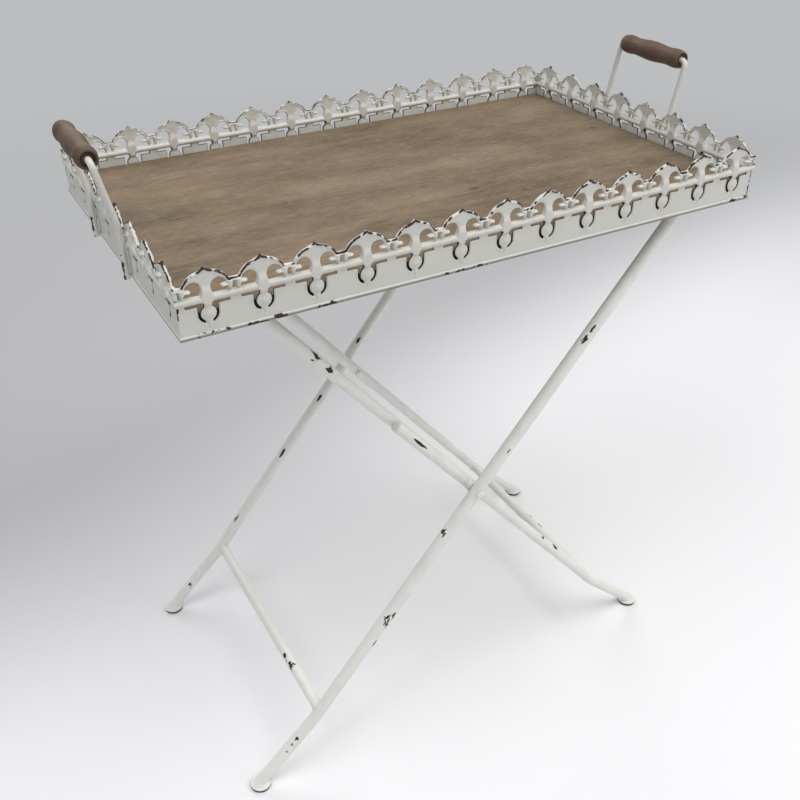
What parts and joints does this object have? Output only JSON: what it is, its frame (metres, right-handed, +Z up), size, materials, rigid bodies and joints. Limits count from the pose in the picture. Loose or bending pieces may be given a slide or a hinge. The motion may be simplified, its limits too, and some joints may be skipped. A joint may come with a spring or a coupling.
{
  "type": "tray top end table",
  "caption": "Folding end table: a rectangular tray with a pierced metal gallery, wooden floor and turned wire handles, on a cross-legged tube stand.",
  "frame": {"origin": "on the floor, below the middle of the tray", "axes": "+X along the tray's long side towards the right handle, +Y across it towards the back, +Z up"},
  "size_m": [0.6872, 0.3854, 0.7516],
  "materials": {
    "cream_paint": "distressed cream-white paint over dark iron, chipped along the edges",
    "board_wood": "weathered grey-brown board, open grain along its length, matt",
    "grip_wood_dark": "turned and stained dark red-brown, satin",
    "grip_wood_pale": "turned and stained brown, satin",
    "black_rubber": "matt black",
    "screw_steel": "plain zinc-coated screws"
  },
  "bodies": {
    "outer_frame": {"front_outer_leg": "cream_paint", "back_outer_leg": "cream_paint", "outer_top_tube": "cream_paint", "outer_crossbar": "cream_paint", "front_left_foot_disc": "cream_paint", "back_left_foot_disc": "cream_paint", "front_left_foot_pad": "black_rubber", "back_left_foot_pad": "black_rubber", "front_pivot_rivet": "cream_paint", "back_pivot_rivet": "cream_paint", "front_pivot_spacer": "cream_paint", "back_pivot_spacer": "cream_paint"},
    "inner_frame": {"front_inner_lower_leg": "cream_paint", "back_inner_lower_leg": "cream_paint", "front_inner_upper_leg": "cream_paint", "back_inner_upper_leg": "cream_paint", "inner_top_tube": "cream_paint", "inner_crossbar": "cream_paint", "front_right_foot_disc": "cream_paint", "back_right_foot_disc": "cream_paint", "front_right_foot_pad": "black_rubber", "back_right_foot_pad": "black_rubber"},
    "tray": {"front_gallery_wall": "cream_paint", "back_gallery_wall": "cream_paint", "left_gallery_wall": "cream_paint", "right_gallery_wall": "cream_paint", "wood_board": "board_wood", "front_board_ledge": "cream_paint", "back_board_ledge": "cream_paint", "left_board_ledge": "cream_paint", "right_board_ledge": "cream_paint", "left_spread_stop": "cream_paint", "right_spread_stop": "cream_paint", "board_screws": "screw_steel", "left_handle_wire": "cream_paint", "right_handle_wire": "cream_paint"},
    "left_grip": {"left_wooden_grip": "grip_wood_pale"},
    "right_grip": {"right_wooden_grip": "grip_wood_dark"}
  },
  "joints": [
    {"name": "stand_fold", "type": "hinge", "parent": "outer_frame", "child": "inner_frame", "pos_m": [0, 0, 0.334], "axis": [0, 1, 0], "range_deg": [0, 77]},
    {"name": "tray_lift", "type": "slide", "parent": "outer_frame", "child": "tray", "axis": [0, 0, 1], "range_m": [0, 0.3634]},
    {"name": "left_grip_spin", "type": "hinge", "parent": "tray", "child": "left_grip", "pos_m": [-0.3326, 0, 0.7406], "axis": [0, 1, 0], "continuous": true},
    {"name": "right_grip_spin", "type": "hinge", "parent": "tray", "child": "right_grip", "pos_m": [0.3326, 0, 0.7406], "axis": [0, 1, 0], "continuous": true}
  ],
  "couplings": [
    {"joint": "tray_lift", "follows": "stand_fold", "m_per_rad": 0.27}
  ]
}
